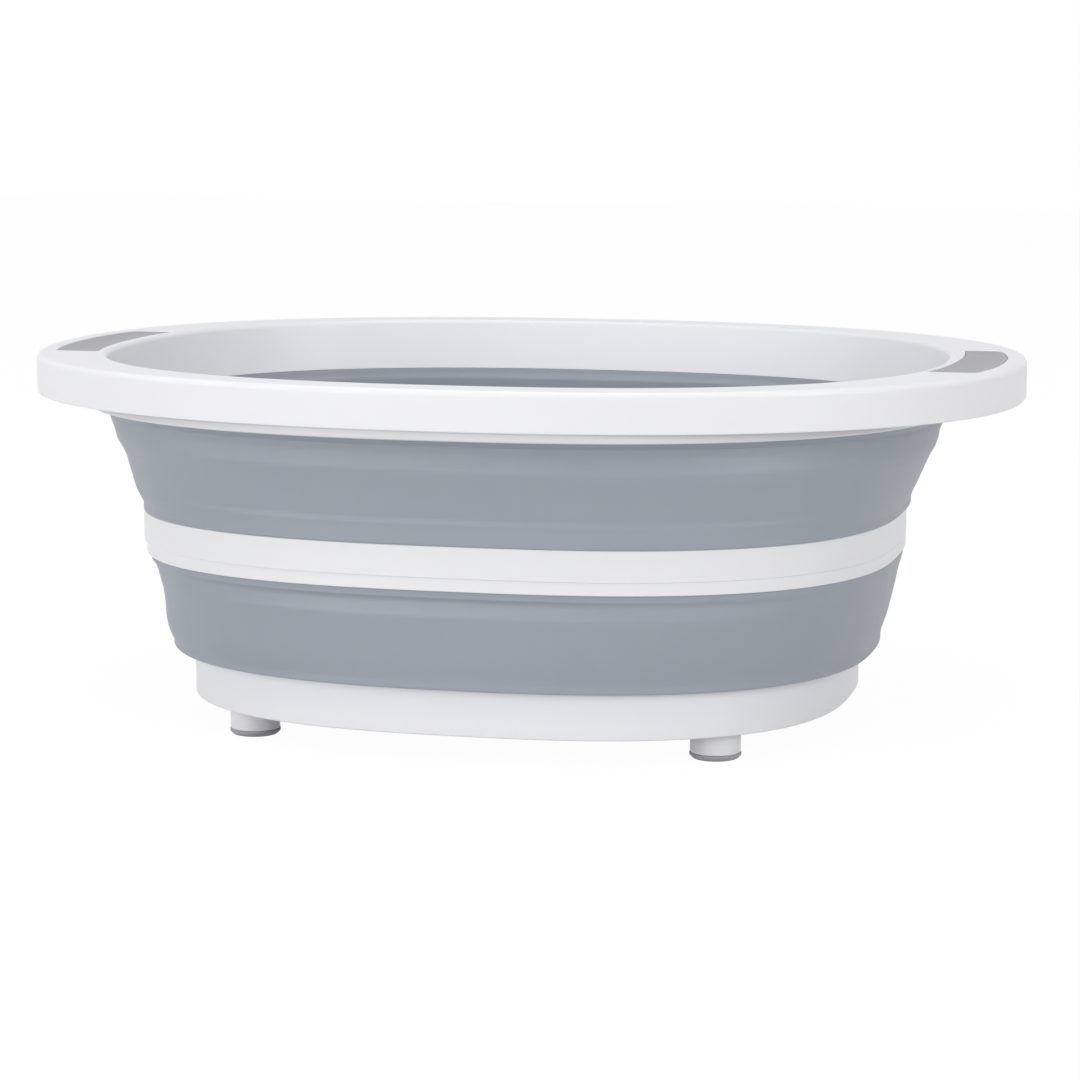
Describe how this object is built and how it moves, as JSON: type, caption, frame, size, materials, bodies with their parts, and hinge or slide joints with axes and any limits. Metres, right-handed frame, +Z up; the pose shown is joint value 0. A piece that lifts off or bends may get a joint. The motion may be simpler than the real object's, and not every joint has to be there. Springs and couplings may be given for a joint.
{
  "type": "collapsible washbasin",
  "caption": "Oval folding washbasin: white rim, middle ring and base joined by grey elastomer walls that flip over, on short legs, with a floor drain and lift-out plug.",
  "frame": {"origin": "on the ground under the middle of the basin, at the height of the pads' undersides", "axes": "+X along the basin's length towards the right grip, +Y to the rear across its width, +Z up"},
  "size_m": [0.42, 0.3156, 0.1545],
  "materials": {
    "white_plastic": "smooth moulded polypropylene, softly glossy",
    "grey_elastomer": "satin blue-grey thermoplastic elastomer",
    "grip_elastomer": "satin mid-grey elastomer inlay",
    "pad_rubber": "matt dark grey rubber"
  },
  "bodies": {
    "base": {"base_tray": "white_plastic", "leg_front_left": "white_plastic", "leg_front_right": "white_plastic", "leg_rear_left": "white_plastic", "leg_rear_right": "white_plastic", "foot_pad_front_left": "pad_rubber", "foot_pad_front_right": "pad_rubber", "foot_pad_rear_left": "pad_rubber", "foot_pad_rear_right": "pad_rubber", "drain_strainer": "white_plastic"},
    "middle_ring": {"ring_hoop": "white_plastic", "ring_band": "white_plastic", "lower_wall": "grey_elastomer"},
    "rim_assembly": {"rim": "white_plastic", "clamp_collar": "white_plastic", "grip_left": "grip_elastomer", "grip_right": "grip_elastomer", "upper_wall": "grey_elastomer"},
    "plug": {"plug_body": "white_plastic", "plug_seal": "grey_elastomer"}
  },
  "joints": [
    {"name": "ring_fold", "type": "slide", "parent": "base", "child": "middle_ring", "axis": [0, 0, -1], "range_m": [0, 0.05], "deforming": ["lower_wall"]},
    {"name": "rim_fold", "type": "slide", "parent": "middle_ring", "child": "rim_assembly", "axis": [0, 0, -1], "range_m": [0, 0.05], "deforming": ["upper_wall"]},
    {"name": "plug_lift", "type": "slide", "parent": "base", "child": "plug", "axis": [0, 0, 1], "range_m": [0, 0.15]}
  ]
}
